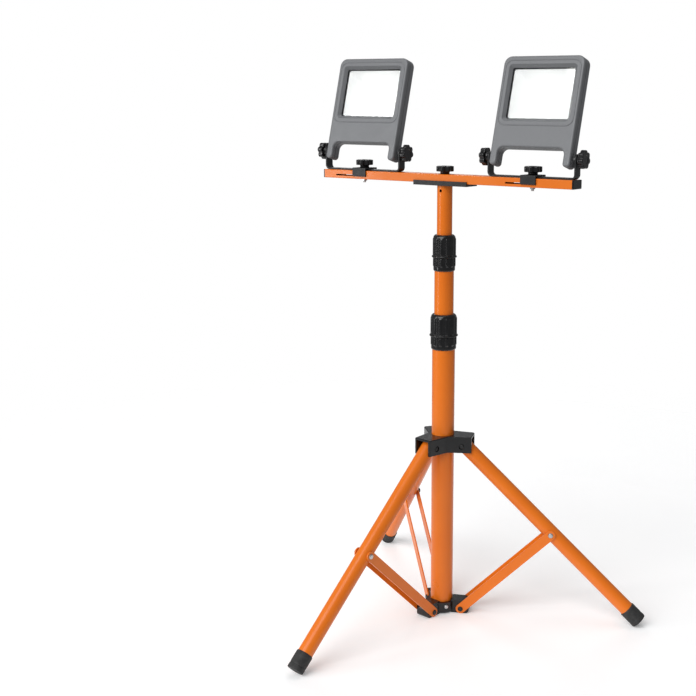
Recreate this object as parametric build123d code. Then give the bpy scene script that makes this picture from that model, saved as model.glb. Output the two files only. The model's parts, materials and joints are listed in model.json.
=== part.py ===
from build123d import *
import os
from math import cos, radians, sin

# Work light: two tilting flood heads on a cross bar, on a twist-lock telescopic mast with a
# folding tripod. Millimetres. +Z is up, the heads face -Y and the cross bar runs along X.
# The origin is on the mast's axis, on the floor that the feet and the bottom hub rest on.

# ---- clearances -----------------------------------------------------------------------
running_gap = 0.08      # radial, round parts that turn or slide in each other
fixed_gap = 0.04        # radial, round parts that stay together
side_gap = 0.3          # between neighbours that move past each other

# ---- tripod ---------------------------------------------------------------------------
leg_azimuths = (262.0, 22.0, 142.0)
leg_angle = 46.3        # from vertical, at rest
leg_length = 422.0      # top pivot to the end of the foot
leg_radius = 12.5
leg_wall = 1.2
leg_swing_gap = 1.0     # between a leg's round end and the upper hub's sleeve
fold_angle = 6.3        # from vertical, folded
brace_width = 16.0
brace_thickness = 2.2
bolt_sides = (1, -1, 1) # side of each leg that its bolt's head is on
brace_floor_gap = 0.42  # under a brace's lower end
rivet_radius = 3.0
rivet_head_radius = 4.4
rivet_head_height = 2.0
leg_rivet_head_radius = 3.8
cap_nut_radius = 5.4
cap_nut_height = 4.4
foot_wall = 1.25
foot_length = 30.0
foot_floor = 4.0
foot_edge = 2.0

# ---- hubs -----------------------------------------------------------------------------
upper_hub_below = 10.6  # below the leg pivots
hub_cheek = 4.0
hub_cheek_gap = 0.5     # each side of a leg
hub_roof = 3.4
hub_roof_gap = 0.9      # over a leg's round end
hub_arm_beyond = 16.0   # beyond the leg pivot
hub_web = 2.5           # outside the sleeve, where two arms meet
hub_web_fillet = 2.5
hub_top_chamfer = 1.2
hub_sleeve_wall = 3.2
rivet_pocket_gap = 0.4
lug_beyond = 14.0       # beyond the brace pivot
lug_height = 23.0
lug_top_fillet = 11.5
lug_foot_fillet = 6.0
cup_height = 20.0
cup_floor = 6.0
cup_wall = 6.0
cup_chamfer = 3.0
hub_screw_radius = 2.0
hub_screw_length = 11.0
hub_screw_head_radius = 3.6
hub_screw_head_height = 1.8

# ---- mast -----------------------------------------------------------------------------
lower_tube_radius = 19.0
middle_tube_radius = 16.0
upper_tube_radius = 12.5
tube_wall = 1.5
folded_hub_gap = 18.0       # between the folded upper hub and the lower twist lock
middle_tube_shown = 71.8    # between the two twist locks, at rest
upper_tube_shown = 80.0     # above the upper twist lock, at rest
middle_tube_length = 483.0
upper_tube_length = 404.5
bush_length = 30.0
bush_wall = 0.9
bush_collar = 8.0
hang_hole_radius = 2.5
hang_hole_drop = 8.5        # below the top of the upper tube

# ---- twist locks ----------------------------------------------------------------------
lock_length = 59.5
lock_sleeve_length = 22.0   # below the turning nut
tube_seat_depth = 4.0       # below the sleeve's top
lock_wall = 3.5             # sleeve wall over the tube it is fixed to
lock_flange = 2.0
lock_flange_height = 2.4
lock_shoulder = 3.0
lock_shoulder_width = 2.1
lock_collar = 3.5           # plain, between the ribs and the shoulder
lock_foot_chamfer = 1.2
lock_rib_end = 1.5          # plain, at the joint between sleeve and nut
lock_nut_wall = 1.6         # least wall outside the neck
lock_nut_roof = 4.0
lock_nut_gap = 0.4          # between the sleeve and the nut
lock_band = 8.0             # plain band at the sleeve's foot
neck_drop = 14.0            # below the lock's top
lock_rib_count = 12
lock_rib_height = 0.8
lock_rib_width = 2.2
collet_wall = 1.5
collet_cut = 2.0
collet_chamfer = 1.0
neck_wall = 1.6

# ---- cross bar and its saddle ---------------------------------------------------------
bar_length = 480.0
bar_depth = 28.0
bar_height = 14.0
bar_wall = 1.5
bar_edge_fillet = 1.2
bar_plug_face = 2.5
bar_plug_insert = 14.0
bar_plug_wall = 2.0
bar_plug_chamfer = 0.6
saddle_length = 102.0
saddle_wall = 2.5
saddle_floor = 4.0
saddle_lip = 3.6            # above the bar's underside
spigot_length = 28.0
spigot_hole_gap = 1.0       # round the cross hole
centre_stud_radius = 3.0
centre_stud_grip = 4.5      # below the mast's top, clear of the cross hole

# ---- head clamps and yokes ------------------------------------------------------------
head_inset = 77.5           # head's centre from the bar's end
clamp_width = 27.0
clamp_wall = 2.2
clamp_edge_fillet = 1.5
hook_height = 2.0
hook_lap = 1.3              # into the bar's wall
hook_root = 0.5             # into the clamp's wall
slot_height = 2.6
slot_rise = 4.4             # slot's lower edge above the bar's underside
slot_reach = (37.0, 28.0)   # slot beyond the clamp, left and right heads
stud_radius = 2.5
nut_width = 8.0
nut_height = 2.6
stud_end = 3.2              # beyond the nut
yoke_width = 16.0
yoke_thickness = 2.5
yoke_bend = 5.0
yoke_end_flat = 0.1         # half the flat left on each round end
yoke_side_gap = 4.5         # between a head's side and the yoke
tilt_height = 30.6          # tilt axis above the bar's top
tilt_stud_tip = 2.0         # short of the ear's inner side

# ---- star knobs -----------------------------------------------------------------------
knob_radius = 14.4
knob_height = 9.0
knob_lobes = 7
knob_scallop_radius = 3.6
knob_scallop_centre = 15.55
knob_lobe_fillet = 1.4
knob_edge_chamfer = 0.9
knob_dish_radius = 6.05
knob_dish_depth = 0.8
knob_boss_radius = 7.6
knob_boss_height = 4.0

# ---- flood heads ----------------------------------------------------------------------
head_width = 141.0
head_top = 156.6            # above the tilt axis
head_bottom = 13.0
head_front = 14.0           # in front of the tilt axis
head_tilt = 15.5            # lean back at rest
seal_depth = 1.0
seal_inset = 1.0
flange_depth = 11.5         # rear housing's rim
ear_width = 12.5
ear_drop = 15.0
ear_tip_fillet = 5.6
notch_fillet = 10.0
corner_radius = 13.0
front_edge_fillet = 3.0
rim_edge_fillet = 2.5
side_border = 11.0          # beside the window
top_border = 13.0
window_height = 90.0
window_corner = 6.0
bevel_width = 5.0
bevel_depth = 4.5
bevel_corner = 3.0
glass_thickness = 3.4
glass_ledge = 4.0
glass_corner = 4.0
glass_lip = 0.6             # frame in front of the glass's edge
body_inset = 12.5           # rear body, from the rim's edge
body_rise = 3.0             # above the notch between the ears
body_depth = 9.0
body_wall = 2.5
body_corner = 6.0
body_chamfer = 3.0
fin_count = 11
fin_side_gap = 10.0         # from the body's sides to the outer fins
fin_top_gap = 4.5
fin_length = 85.5
fin_height = 5.0
fin_thickness = 2.2
wiring_side_gap = 15.0
wiring_edge_gap = 3.0
wiring_channel = 14.0
board_width = 66.0
board_height = 50.0
board_thickness = 1.6
board_corner = 2.0
led_rows = 5
led_columns = 7
led_margin = 9.0            # board's edge to the outer LEDs' centres
led_size = 3.5
led_height = 0.9
reflector_wall = 1.0
reflector_inset = 1.3       # inside the bevel's narrow end
reflector_board_lap = 3.0   # board's edge to the reflector's floor
reflector_corner = 4.0
reflector_floor_corner = 3.0
loft_lap = 0.01             # hollow beyond the tray's ends
screw_radius = 1.5
screw_head_radius = 2.9
screw_head_height = 2.0
screw_side_inset = 5.5
screw_end_inset = 13.0
screw_tip_depth = 4.0       # behind the frame's front
screw_hole_depth = 2.5
screw_slot_length = 3.4
screw_slot_width = 0.8
screw_slot_depth = 1.0
screw_gap = 0.2             # round a screw in the rear housing
screw_pocket_gap = 0.3
gland_height = 30.0         # above the tilt axis
gland_radius = 6.0
gland_bore = 3.6
gland_nut = 15.0
gland_nut_height = 5.0
gland_dome_radius = 6.6
gland_dome_fillet = 3.0
gland_length = 17.0

# ---- derived places -------------------------------------------------------------------
foot_radius = leg_radius + foot_wall
leg_pivot_height = (
    (leg_length - foot_edge) * cos(radians(leg_angle))
    + (foot_radius - foot_edge) * sin(radians(leg_angle)) + foot_edge
)
hub_pivot_height = brace_width / 2 + brace_floor_gap
# A brace is as long as the leg above it, so the feet stay level with the bottom hub.
brace_length = (leg_pivot_height - hub_pivot_height) / (2 * cos(radians(leg_angle)))
hub_sleeve_radius = lower_tube_radius + side_gap + hub_sleeve_wall
pivot_radius = hub_sleeve_radius + leg_swing_gap + leg_radius
upper_hub_above = leg_radius + hub_roof_gap + hub_roof
strip_inside = leg_radius + side_gap
strip_outside = strip_inside + brace_thickness
cheek_inside = leg_radius + hub_cheek_gap
cheek_outside = cheek_inside + hub_cheek
folded_hub_top = (
    hub_pivot_height + 2 * brace_length * cos(radians(fold_angle)) + upper_hub_above
)
lower_lock_height = folded_hub_top + folded_hub_gap
upper_lock_height = lower_lock_height + lock_length + middle_tube_shown
mast_top = upper_lock_height + lock_length + upper_tube_shown
bar_bottom = mast_top + saddle_floor
bar_top = bar_bottom + bar_height
yoke_bottom = bar_top + side_gap / 2
yoke_top = yoke_bottom + yoke_thickness
clamp_roof = yoke_top + side_gap / 2
clamp_top = clamp_roof + clamp_wall
tilt_axis_height = bar_top + tilt_height
ear_side = head_width / 2
yoke_inside = ear_side + yoke_side_gap
yoke_outside = yoke_inside + yoke_thickness
seal_front = head_front - bevel_depth - glass_thickness - glass_lip
rim_front = seal_front - seal_depth
rim_back = rim_front - flange_depth
body_back = rim_back - body_depth
window_width = head_width - 2 * side_border
window_centre = head_top - top_border - window_height / 2
head_centres = (head_inset - bar_length / 2, bar_length / 2 - head_inset)
frame_screw_places = [
    (side * (ear_side - screw_side_inset), height)
    for side in (-1, 1) for height in (head_bottom + screw_end_inset, head_top - screw_end_inset)
]


def rod(radius, low, high):
    """Cylinder on the Z axis between two heights."""
    return Pos(0, 0, (low + high) / 2) * Cylinder(radius, high - low)


def ring(outer, inner, low, high):
    return rod(outer, low, high) - rod(inner, low - 1, high + 1)


def block(x_range, y_range, z_range):
    """Box between two corners, given as three (low, high) pairs."""
    sizes = [high - low for low, high in (x_range, y_range, z_range)]
    middle = [(high + low) / 2 for low, high in (x_range, y_range, z_range)]
    return Pos(*middle) * Box(*sizes)


def cross_rod(radius, low, high):
    """Cylinder along Y between two places."""
    return Rot(X=-90) * rod(radius, low, high)


def save(name, *solids):
    shape = solids[0] if len(solids) == 1 else Compound(children=list(solids))
    export_step(shape, f"parts/{name}.step")


# ---- tripod ---------------------------------------------------------------------------
# Each leg is built in its own plane: X points outwards from the mast, Y is across the leg.

def leg_place():
    return Pos(pivot_radius, 0, leg_pivot_height) * Rot(Y=-leg_angle)


def brace_place():
    return Pos(pivot_radius, 0, hub_pivot_height) * Rot(Y=leg_angle)


def leg_tube():
    foot_end = -(leg_length - foot_floor)
    tube = rod(leg_radius, foot_end, leg_radius)
    below_pivot = block((-leg_radius, leg_radius), (-leg_radius, leg_radius), (foot_end, 0))
    round_end = cross_rod(leg_radius, -leg_radius, leg_radius)
    tube = tube & (below_pivot + round_end)
    tube -= rod(leg_radius - leg_wall, foot_end - 1, leg_radius + 1)
    tube -= cross_rod(rivet_radius + running_gap, -leg_radius, leg_radius)
    tube -= Pos(0, 0, -brace_length) * cross_rod(rivet_radius + fixed_gap, -leg_radius, leg_radius)
    return leg_place() * tube


def foot_cap():
    cap = rod(foot_radius, -leg_length, -leg_length + foot_length)
    cap = fillet(cap.edges().group_by(Axis.Z)[0], foot_edge)
    cap = chamfer(cap.edges().group_by(Axis.Z)[-1], foot_wall / 2)
    floor = -leg_length + foot_floor
    cap -= rod(leg_radius + fixed_gap, floor, floor + foot_length)
    return leg_place() * cap


def brace_strips():
    outline = SlotCenterToCenter(brace_length, brace_width, rotation=90)
    outline = Pos(0, brace_length / 2) * outline
    outline -= Circle(rivet_radius + running_gap)
    outline -= Pos(0, brace_length) * Circle(rivet_radius + running_gap)
    strip = extrude(Plane.XZ * outline, brace_thickness)
    near = Pos(0, -strip_inside, 0) * strip
    far = Pos(0, strip_outside, 0) * strip
    return [brace_place() * near, brace_place() * far]


def domed_head(radius, height):
    """Rivet head on the XY plane, towards +Z."""
    head = rod(radius, 0, height)
    return fillet(head.edges().group_by(Axis.Z)[-1], height * 0.8)


def cross_pin(side):
    """Bolt through the leg with a domed head on one side and a cap nut on the other."""
    seat = strip_outside + side_gap
    shank = cross_rod(rivet_radius, -seat - rivet_head_height, seat)
    head = Pos(0, seat, 0) * Rot(X=-90) * domed_head(rivet_head_radius, rivet_head_height)
    bolt = shank + head
    nut = Pos(0, -seat, 0) * Rot(X=90) * domed_head(cap_nut_radius, cap_nut_height)
    nut -= cross_rod(rivet_radius + fixed_gap, -seat - rivet_head_height - fixed_gap, seat)
    turn = Rot(Z=0 if side > 0 else 180)
    place = brace_place() * Pos(0, 0, brace_length)
    return [place * turn * bolt, place * turn * nut]


def rivet(grip, head_radius):
    """Rivet along Y with a head beyond each end of the grip."""
    shank = cross_rod(rivet_radius, -grip, grip)
    for turn in (-90, 90):
        shank += Rot(X=turn) * Pos(0, 0, grip) * domed_head(head_radius, rivet_head_height)
    return shank


def brace_rivet():
    place = Pos(pivot_radius, 0, hub_pivot_height)
    return place * rivet(strip_outside + side_gap, rivet_head_radius)


def leg_rivet():
    place = Pos(pivot_radius, 0, leg_pivot_height)
    return place * rivet(cheek_outside, leg_rivet_head_radius)


def in_leg_planes(make, *arguments):
    return [Rot(Z=azimuth) * make(*arguments) for azimuth in leg_azimuths]


def hub_outline():
    """Three arms that widen into a web between them."""
    points = []
    for azimuth in leg_azimuths:
        arm = Rot(Z=azimuth)
        for side in (-1, 1):
            corner = arm * Pos(pivot_radius + hub_arm_beyond, side * cheek_outside, 0)
            points.append(corner.position)
        web = Rot(Z=azimuth + 60) * Pos(hub_sleeve_radius + hub_web, 0, 0)
        points.append(web.position)
    return make_face(Polyline(*points, close=True))


def upper_hub():
    low = leg_pivot_height - upper_hub_below
    high = leg_pivot_height + upper_hub_above
    outline = fillet(hub_outline().vertices(), hub_web_fillet)
    hub = extrude(Pos(0, 0, low) * outline, high - low)
    hub = chamfer(hub.faces().sort_by(Axis.Z)[-1].edges(), hub_top_chamfer)
    head_pocket = rivet_head_radius + rivet_pocket_gap
    for azimuth in leg_azimuths:
        cavity = block(
            (hub_sleeve_radius, pivot_radius + hub_arm_beyond + 1), (-cheek_inside, cheek_inside),
            (low - 1, high - hub_roof),
        )
        pocket = Pos(pivot_radius, 0, leg_pivot_height) * (
            cross_rod(head_pocket, -pivot_radius, -cheek_outside)
            + cross_rod(head_pocket, cheek_outside, pivot_radius)
            + cross_rod(rivet_radius + fixed_gap, -cheek_outside - 1, cheek_outside + 1)
        )
        hub -= Rot(Z=azimuth) * (cavity + pocket)
    return hub - rod(lower_tube_radius + side_gap, low - 1, high + 1)


def bottom_hub():
    cup_outside = lower_tube_radius + cup_wall
    hub = rod(cup_outside, 0, cup_height)
    hub = chamfer(hub.edges().group_by(Axis.Z)[0], cup_chamfer)
    for azimuth in leg_azimuths:
        lug = block(
            (lower_tube_radius, pivot_radius + lug_beyond), (-leg_radius, leg_radius),
            (0, lug_height),
        )
        outer = lug.faces().sort_by(Axis.X)[-1].edges().filter_by(Axis.Y)
        lug = fillet(outer.sort_by(Axis.Z)[-1], lug_top_fillet)
        outer = lug.edges().filter_by(Axis.Y).group_by(Axis.Z)[0].sort_by(Axis.X)[-1]
        lug = fillet(outer, lug_foot_fillet)
        hub += Rot(Z=azimuth) * lug
    hub -= rod(lower_tube_radius + fixed_gap, cup_floor, lug_height + 1)
    for azimuth in leg_azimuths:
        hole = Pos(pivot_radius, 0, hub_pivot_height)
        hub -= Rot(Z=azimuth) * hole * cross_rod(rivet_radius + fixed_gap, -leg_radius, leg_radius)
    return hub - hub_screw_place() * rod(hub_screw_radius + fixed_gap, -cup_wall * 3, 1)


def hub_screw_place():
    """On the cup, half-way between the first two legs, pointing outwards."""
    azimuth = (leg_azimuths[0] - 360 + leg_azimuths[1]) / 2
    middle = (cup_floor + cup_height) / 2
    return Rot(Z=azimuth) * Pos(lower_tube_radius + cup_wall, 0, middle) * Rot(Y=90)


def hub_screw():
    return hub_screw_place() * (
        rod(hub_screw_radius, -hub_screw_length, 0)
        + domed_head(hub_screw_head_radius, hub_screw_head_height)
    )


# ---- mast -----------------------------------------------------------------------------

def sleeve_top(lock_bottom):
    return lock_bottom + lock_sleeve_length


def tube_seat(lock_bottom):
    """Top of the tube that a lock's sleeve is fixed to."""
    return sleeve_top(lock_bottom) - tube_seat_depth


def mast_tube(radius, low, high):
    return ring(radius, radius - tube_wall, low, high)


def lower_tube():
    tube = mast_tube(lower_tube_radius, cup_floor, tube_seat(lower_lock_height))
    return tube - hub_screw_place() * rod(hub_screw_radius + fixed_gap, -hub_screw_length, 0)


def upper_tube():
    tube = mast_tube(upper_tube_radius, mast_top - upper_tube_length, mast_top)
    hole = cross_rod(hang_hole_radius, -upper_tube_radius - 1, upper_tube_radius + 1)
    return tube - Pos(0, 0, mast_top - hang_hole_drop) * hole


def guide_bush(tube_radius, outer_tube_radius, tube_bottom):
    """Plastic foot on a sliding tube: it fits in the tube and runs in the one outside it."""
    running = outer_tube_radius - tube_wall - running_gap
    bore = tube_radius - tube_wall - bush_wall
    collar = ring(running, bore, tube_bottom - bush_collar, tube_bottom)
    inside = tube_radius - tube_wall - fixed_gap
    return collar + ring(inside, inside - bush_wall, tube_bottom, tube_bottom + bush_length)


def ribs(radius, low, high):
    """Grip ribs round a cylinder."""
    made = []
    for index in range(lock_rib_count):
        rib = block(
            (radius - lock_rib_height, radius + lock_rib_height),
            (-lock_rib_width / 2, lock_rib_width / 2),
            (low, high),
        )
        made.append(Rot(Z=index * 360 / lock_rib_count) * rib)
    return made


def lock_sizes(outer_tube_radius, inner_tube_radius):
    """Collet, neck and body radii of a twist lock between two tubes."""
    collet = inner_tube_radius + running_gap + collet_wall
    neck_bore = collet + side_gap
    neck = max(neck_bore + neck_wall, outer_tube_radius)
    body = max(neck + side_gap + lock_nut_wall + lock_rib_height, outer_tube_radius + lock_wall)
    return collet, neck_bore, neck, body


def lock_sleeve(outer_tube_radius, inner_tube_radius, low):
    """Fixed on the outer tube, with a neck that the nut turns on."""
    _, neck_bore, neck, body = lock_sizes(outer_tube_radius, inner_tube_radius)
    top = sleeve_top(low)
    neck_top = low + lock_length - neck_drop
    skirt = body - lock_rib_height - lock_nut_gap
    sleeve = rod(skirt, low, top)
    sleeve = chamfer(sleeve.edges().group_by(Axis.Z)[0], lock_foot_chamfer)
    for rib in ribs(skirt, low + lock_band, top - lock_rib_end):
        sleeve += rib
    sleeve += rod(neck, top, neck_top)
    sleeve -= rod(outer_tube_radius + fixed_gap, low - 1, tube_seat(low))
    return sleeve - rod(neck_bore, tube_seat(low) - 1, neck_top + 1)


def lock_nut(outer_tube_radius, inner_tube_radius, low):
    """Ribbed nut with a flange at its foot and a shoulder round the inner tube."""
    _, _, neck, body = lock_sizes(outer_tube_radius, inner_tube_radius)
    foot = sleeve_top(low) + lock_nut_gap
    top = low + lock_length
    grip = body - lock_rib_height
    nut = rod(grip, foot, top)
    nut = chamfer(nut.edges().group_by(Axis.Z)[-1], lock_shoulder, lock_shoulder_width)
    for rib in ribs(grip, foot + lock_rib_end, top - lock_shoulder - lock_collar):
        nut += rib
    nut += ring(grip + lock_flange, grip - lock_rib_height, foot, foot + lock_flange_height)
    nut -= rod(neck + side_gap, foot - 1, top - lock_nut_roof)
    return nut - rod(inner_tube_radius + side_gap, foot - 1, top + 1)


def collet(outer_tube_radius, inner_tube_radius, low):
    """Split ring between the neck and the sliding tube, with a rim on the neck's end."""
    collet_outside, _, neck, _ = lock_sizes(outer_tube_radius, inner_tube_radius)
    bore = inner_tube_radius + running_gap
    neck_top = low + lock_length - neck_drop
    rim_top = low + lock_length - lock_nut_roof - side_gap
    ring_body = ring(collet_outside, bore, sleeve_top(low), neck_top)
    rim = rod(neck - side_gap, neck_top + side_gap, rim_top)
    rim = chamfer(rim.edges().group_by(Axis.Z)[-1], collet_chamfer)
    grip = ring_body + rod(collet_outside, neck_top, neck_top + side_gap) + rim
    grip -= rod(bore, low, rim_top + 1)
    return grip - block((0, neck * 2), (-collet_cut / 2, collet_cut / 2), (low, rim_top + 1))


# ---- star knobs -----------------------------------------------------------------------

def star_knob(radius_of_stud, stud_length):
    """Knob with its moulded-in stud: the boss stands on Z = 0 and the stud hangs below."""
    outline = Circle(knob_radius)
    scallop = Circle(knob_scallop_radius)
    for index in range(knob_lobes):
        outline -= Rot(Z=index * 360 / knob_lobes) * Pos(knob_scallop_centre, 0) * scallop
    outline = fillet(outline.vertices(), knob_lobe_fillet)
    top = knob_boss_height + knob_height
    head = extrude(Pos(0, 0, knob_boss_height) * outline, knob_height)
    head = chamfer(head.faces().sort_by(Axis.Z)[-1].edges(), knob_edge_chamfer)
    head -= rod(knob_dish_radius, top - knob_dish_depth, top + 1)
    boss = rod(knob_boss_radius, 0, knob_boss_height)
    return head + boss + rod(radius_of_stud, -stud_length, 1)


# ---- cross bar ------------------------------------------------------------------------

def bar_saddle():
    """Channel under the bar, with a spigot in the top of the mast."""
    outside = bar_depth / 2 + saddle_wall
    half = saddle_length / 2
    saddle = block((-half, half), (-outside, outside), (mast_top, bar_bottom + saddle_lip))
    saddle -= block(
        (-half - 1, half + 1), (-bar_depth / 2, bar_depth / 2), (bar_bottom, bar_top),
    )
    spigot = rod(upper_tube_radius - tube_wall - fixed_gap, mast_top - spigot_length, mast_top)
    saddle += spigot
    hole = cross_rod(hang_hole_radius + spigot_hole_gap, -upper_tube_radius, upper_tube_radius)
    saddle -= Pos(0, 0, mast_top - hang_hole_drop) * hole
    return saddle - rod(centre_stud_radius + running_gap, mast_top - spigot_length - 1, bar_top)


def slot_span(index):
    """X range that a clamp's hooks and stud need along the bar."""
    centre = head_centres[index]
    return (centre - clamp_width / 2 - slot_reach[index], centre + clamp_width / 2 + side_gap)


def cross_bar():
    half = bar_length / 2 - bar_plug_face
    bar = block((-half, half), (-bar_depth / 2, bar_depth / 2), (bar_bottom, bar_top))
    bar = fillet(bar.edges().filter_by(Axis.X), bar_edge_fillet)
    bar -= block(
        (-half - 1, half + 1), (-bar_depth / 2 + bar_wall, bar_depth / 2 - bar_wall),
        (bar_bottom + bar_wall, bar_top - bar_wall),
    )
    for index, centre in enumerate(head_centres):
        low, high = slot_span(index)
        slot_low = bar_bottom + slot_rise
        bar -= block((low, high), (-bar_depth, bar_depth), (slot_low, slot_low + slot_height))
        stud_slot = stud_radius + side_gap
        bar -= block(
            (centre - slot_reach[index] - stud_slot, centre + stud_slot),
            (-stud_slot, stud_slot), (bar_bottom - 1, bar_top + 1),
        )
    return bar - rod(centre_stud_radius + running_gap, bar_bottom - 1, bar_top + 1)


def bar_plug(side):
    outer = bar_length / 2
    shoulder = outer - bar_plug_face
    face = block(
        (shoulder, outer), (-bar_depth / 2, bar_depth / 2), (bar_bottom, bar_top),
    )
    face = fillet(face.edges().filter_by(Axis.X), bar_edge_fillet)
    face = chamfer(face.faces().sort_by(Axis.X)[-1].edges(), bar_plug_chamfer)
    inner = bar_wall + fixed_gap
    insert = block(
        (shoulder - bar_plug_insert, shoulder),
        (-bar_depth / 2 + inner, bar_depth / 2 - inner), (bar_bottom + inner, bar_top - inner),
    )
    hollow = inner + bar_plug_wall
    insert -= block(
        (shoulder - bar_plug_insert - 1, shoulder),
        (-bar_depth / 2 + hollow, bar_depth / 2 - hollow),
        (bar_bottom + hollow, bar_top - hollow),
    )
    plug = face + insert
    return plug if side > 0 else Rot(Z=180) * plug


def centre_knob():
    grip = bar_height + saddle_floor + centre_stud_grip
    return Pos(0, 0, bar_top) * star_knob(centre_stud_radius, grip)


# ---- head clamps ----------------------------------------------------------------------

def clamp_bracket(centre):
    """Inverted channel over the yoke and bar, with hooks in the bar's side slots."""
    inside = bar_depth / 2 + side_gap
    outside = inside + clamp_wall
    hook_low = bar_bottom + slot_rise + (slot_height - hook_height) / 2
    half = clamp_width / 2
    bracket = block((-half, half), (-outside, outside), (hook_low, clamp_top))
    top_edges = bracket.faces().sort_by(Axis.Z)[-1].edges().filter_by(Axis.X)
    bracket = fillet(top_edges, clamp_edge_fillet)
    bracket -= block((-half - 1, half + 1), (-inside, inside), (hook_low - 1, clamp_roof))
    for side in (-1, 1):
        hook = block(
            (-half, half), (bar_depth / 2 - hook_lap, inside + hook_root),
            (hook_low, hook_low + hook_height),
        )
        bracket += Rot(Z=0 if side > 0 else 180) * hook
    return Pos(centre, 0, 0) * (bracket - rod(stud_radius + running_gap, hook_low, clamp_top + 1))


def clamp_knob(centre):
    reach = clamp_top - bar_bottom + side_gap + nut_height + stud_end
    return Pos(centre, 0, clamp_top) * star_knob(stud_radius, reach)


def clamp_nut(centre):
    top = bar_bottom - side_gap
    hexagon = RegularPolygon(nut_width / 2, 6, major_radius=False)
    nut = extrude(Pos(0, 0, top - nut_height) * hexagon, nut_height)
    return Pos(centre, 0, 0) * (nut - rod(stud_radius + running_gap, top - nut_height - 1, top + 1))


def yoke(centre):
    """Flat strip bent into a U round the head, with round ends at the tilt axis."""
    top = tilt_axis_height + yoke_width / 2
    outer = block(
        (-yoke_outside, yoke_outside), (-yoke_width / 2, yoke_width / 2), (yoke_bottom, top),
    )
    outer = fillet(outer.edges().filter_by(Axis.Y).group_by(Axis.Z)[0], yoke_bend + yoke_thickness)
    inner = block(
        (-yoke_inside, yoke_inside), (-yoke_width, yoke_width), (yoke_top, top + yoke_width),
    )
    inner = fillet(inner.edges().filter_by(Axis.Y).group_by(Axis.Z)[0], yoke_bend)
    strip = outer - inner
    ends = strip.edges().filter_by(Axis.X).group_by(Axis.Z)[-1]
    strip = fillet(ends, yoke_width / 2 - yoke_end_flat)
    tilt_hole = Rot(Y=90) * rod(stud_radius + running_gap, -yoke_outside - 1, yoke_outside + 1)
    strip -= Pos(0, 0, tilt_axis_height) * tilt_hole
    strip -= rod(stud_radius + running_gap, yoke_bottom - 1, yoke_top + 1)
    return Pos(centre, 0, 0) * strip


def tilt_knob(centre, side):
    """Star knob outside the yoke, with its stud in the ear's threaded hole."""
    knob = star_knob(stud_radius, yoke_outside + side_gap - ear_side + ear_width - tilt_stud_tip)
    turned = Pos(yoke_outside + side_gap, 0, 0) * Rot(Y=90) * knob
    if side < 0:
        turned = Rot(Z=180) * turned
    return Pos(centre, 0, tilt_axis_height) * turned


# ---- flood heads ----------------------------------------------------------------------
# A head is built upright about its tilt axis: X across, Z up, and layers along Y counted
# as distances in front of the axis, which is towards -Y.

def head_place(centre):
    return Pos(centre, 0, tilt_axis_height) * Rot(X=-head_tilt)


def layer(sketch, back, front):
    """Sketch in X and Z, made solid between two distances in front of the tilt axis."""
    return extrude(Plane.XZ.offset(back) * sketch, front - back)


def head_outline():
    """Rounded rectangle with an ear at each lower corner."""
    half = head_width / 2
    ear = half - ear_width
    points = [
        (-half, -ear_drop), (-ear, -ear_drop), (-ear, head_bottom), (ear, head_bottom),
        (ear, -ear_drop), (half, -ear_drop), (half, head_top), (-half, head_top),
    ]
    outline = make_face(Polyline(*points, close=True))
    upper = outline.vertices().group_by(Axis.Y)[-1]
    outline = fillet(upper, corner_radius)
    notch = [v for v in outline.vertices() if abs(v.Y - head_bottom) < 0.01]
    outline = fillet(notch, notch_fillet)
    tips = outline.vertices().group_by(Axis.Y)[0]
    return fillet(tips, ear_tip_fillet)


def window(grow, radius):
    opening = RectangleRounded(window_width + 2 * grow, window_height + 2 * grow, radius)
    return Pos(0, window_centre) * opening


def screw_holes(radius, back, front):
    holes = []
    for place_x, place_z in frame_screw_places:
        holes.append(layer(Pos(place_x, place_z) * Circle(radius), back, front))
    return holes


def front_frame(centre):
    frame = layer(head_outline(), seal_front, head_front)
    frame = fillet(frame.faces().sort_by(Axis.Y)[0].edges(), front_edge_fillet)
    wide = Plane.XZ.offset(head_front) * window(0, window_corner)
    narrow = Plane.XZ.offset(head_front - bevel_depth) * window(-bevel_width, bevel_corner)
    frame -= loft([wide, narrow])
    frame -= layer(window(-bevel_width, bevel_corner), seal_front, head_front)
    pocket = window(-bevel_width + glass_ledge + fixed_gap, glass_corner)
    frame -= layer(pocket, seal_front, seal_front + glass_thickness)
    for hole in screw_holes(screw_radius + fixed_gap, seal_front, head_front - screw_hole_depth):
        frame -= hole
    return head_place(centre) * frame


def head_glass(centre):
    pane = window(-bevel_width + glass_ledge, glass_corner)
    return head_place(centre) * layer(pane, seal_front, seal_front + glass_thickness)


def head_seal(centre):
    """Flat gasket between the frame with its glass and the rear housing."""
    height = head_top - head_bottom - 2 * seal_inset
    outline = Pos(0, (head_top + head_bottom) / 2) * RectangleRounded(
        head_width - 2 * seal_inset, height, corner_radius - seal_inset)
    seal = layer(outline, rim_front, seal_front)
    seal -= layer(window(-bevel_width, bevel_corner), rim_front, seal_front)
    for hole in screw_holes(screw_radius + side_gap, rim_front, seal_front):
        seal -= hole
    return head_place(centre) * seal


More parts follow.
